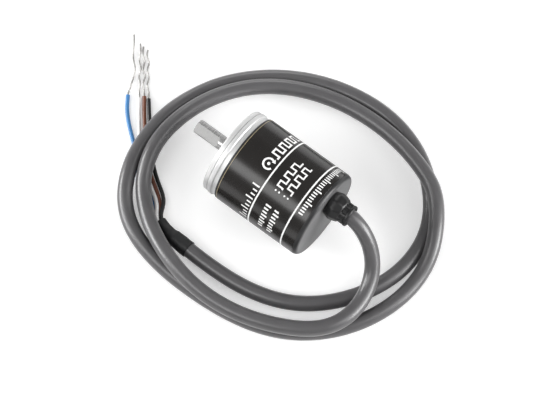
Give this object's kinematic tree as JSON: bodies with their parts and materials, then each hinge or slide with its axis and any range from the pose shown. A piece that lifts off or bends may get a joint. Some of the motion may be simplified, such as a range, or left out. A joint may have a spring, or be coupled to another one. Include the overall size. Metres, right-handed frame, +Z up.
{
  "type": "rotary encoder",
  "caption": "Small shaft-type incremental rotary encoder: round body, servo flange with D-cut shaft on ball bearings, rear cable gland and coiled four-core cable.",
  "frame": {"origin": "on the shaft axis at the front (mounting) face of the flange", "axes": "+X out along the shaft, +Z up as the encoder lies on its side on the table with its cable, +Y to the left looking along +X"},
  "size_m": [0.1038, 0.0736, 0.0252],
  "materials": {
    "turned_aluminium": "fine turned, bright",
    "case_black": "satin",
    "label_black": "glossy film",
    "shaft_steel": "ground stainless",
    "bearing_steel": "ground and lapped",
    "pressed_steel": "pressed sheet",
    "spring_steel": "dark spring steel",
    "screw_steel": "zinc plated",
    "hub_brass": "turned",
    "etched_disk": "etched sheet",
    "clamp_aluminium": "turned",
    "black_moulding": "moulded, matt",
    "clear_resin": "clear epoxy",
    "sensor_resin": "dark tinted epoxy",
    "board_green": "solder mask over glass fibre",
    "tinned_metal": "tinned",
    "chip_ceramic": "glazed chip",
    "capacitor_ceramic": "sintered",
    "gland_rubber": "moulded, satin",
    "jacket_grey": "satin PVC",
    "sleeve_black": "shrunk polyolefin, matt",
    "core_brown": "extruded PVC",
    "core_black": "extruded PVC",
    "core_white": "extruded PVC",
    "core_blue": "extruded PVC"
  },
  "bodies": {
    "housing": {"bearing_retainer": "pressed_steel", "bearing_spacer": "shaft_steel", "cable_anchor": "hub_brass", "cable_gland": "gland_rubber", "cable_sheath": "jacket_grey", "capacitors": "capacitor_ceramic", "case_cup": "case_black", "comparator_ic": "black_moulding", "comparator_pins": "tinned_metal", "conductor_black": "tinned_metal", "conductor_blue": "tinned_metal", "conductor_brown": "tinned_metal", "conductor_white": "tinned_metal", "front_bearing_outer_race": "bearing_steel", "front_bearing_shields": "pressed_steel", "heat_shrink": "sleeve_black", "ir_led": "clear_resin", "label_film": "label_black", "led_holder": "black_moulding", "led_leads": "tinned_metal", "mask_plate": "etched_disk", "mounting_flange": "turned_aluminium", "pcb_main": "board_green", "pcb_screws": "screw_steel", "pcb_standoffs": "hub_brass", "photo_sensor": "sensor_resin", "preload_washer": "pressed_steel", "rear_bearing_outer_race": "bearing_steel", "rear_bearing_shields": "pressed_steel", "resistors": "chip_ceramic", "retainer_screws": "screw_steel", "sensor_pins": "tinned_metal", "solder_joints": "tinned_metal", "transistor_leads": "tinned_metal", "transistors": "black_moulding", "wire_black": "core_black", "wire_blue": "core_blue", "wire_brown": "core_brown", "wire_white": "core_white"},
    "rotor": {"shaft": "shaft_steel", "retaining_ring": "spring_steel", "front_bearing_inner_race": "bearing_steel", "rear_bearing_inner_race": "bearing_steel", "inner_spacer": "shaft_steel", "disk_hub": "hub_brass", "hub_set_screw": "screw_steel", "code_disk": "etched_disk", "disk_clamp_ring": "clamp_aluminium"},
    "front_balls": {"front_bearing_balls": "bearing_steel", "front_bearing_cage": "pressed_steel"},
    "rear_balls": {"rear_bearing_balls": "bearing_steel", "rear_bearing_cage": "pressed_steel"}
  },
  "joints": [
    {"name": "shaft_spin", "type": "hinge", "parent": "housing", "child": "rotor", "pos_m": [0, 0, 0], "axis": [1, 0, 0], "continuous": true},
    {"name": "front_balls_orbit", "type": "hinge", "parent": "housing", "child": "front_balls", "pos_m": [-0.0032, 0, 0], "axis": [1, 0, 0], "continuous": true},
    {"name": "rear_balls_orbit", "type": "hinge", "parent": "housing", "child": "rear_balls", "pos_m": [-0.0102, 0, 0], "axis": [1, 0, 0], "continuous": true}
  ],
  "couplings": [
    {"joint": "front_balls_orbit", "follows": "shaft_spin", "ratio": 0.3866},
    {"joint": "rear_balls_orbit", "follows": "shaft_spin", "ratio": 0.3866}
  ]
}
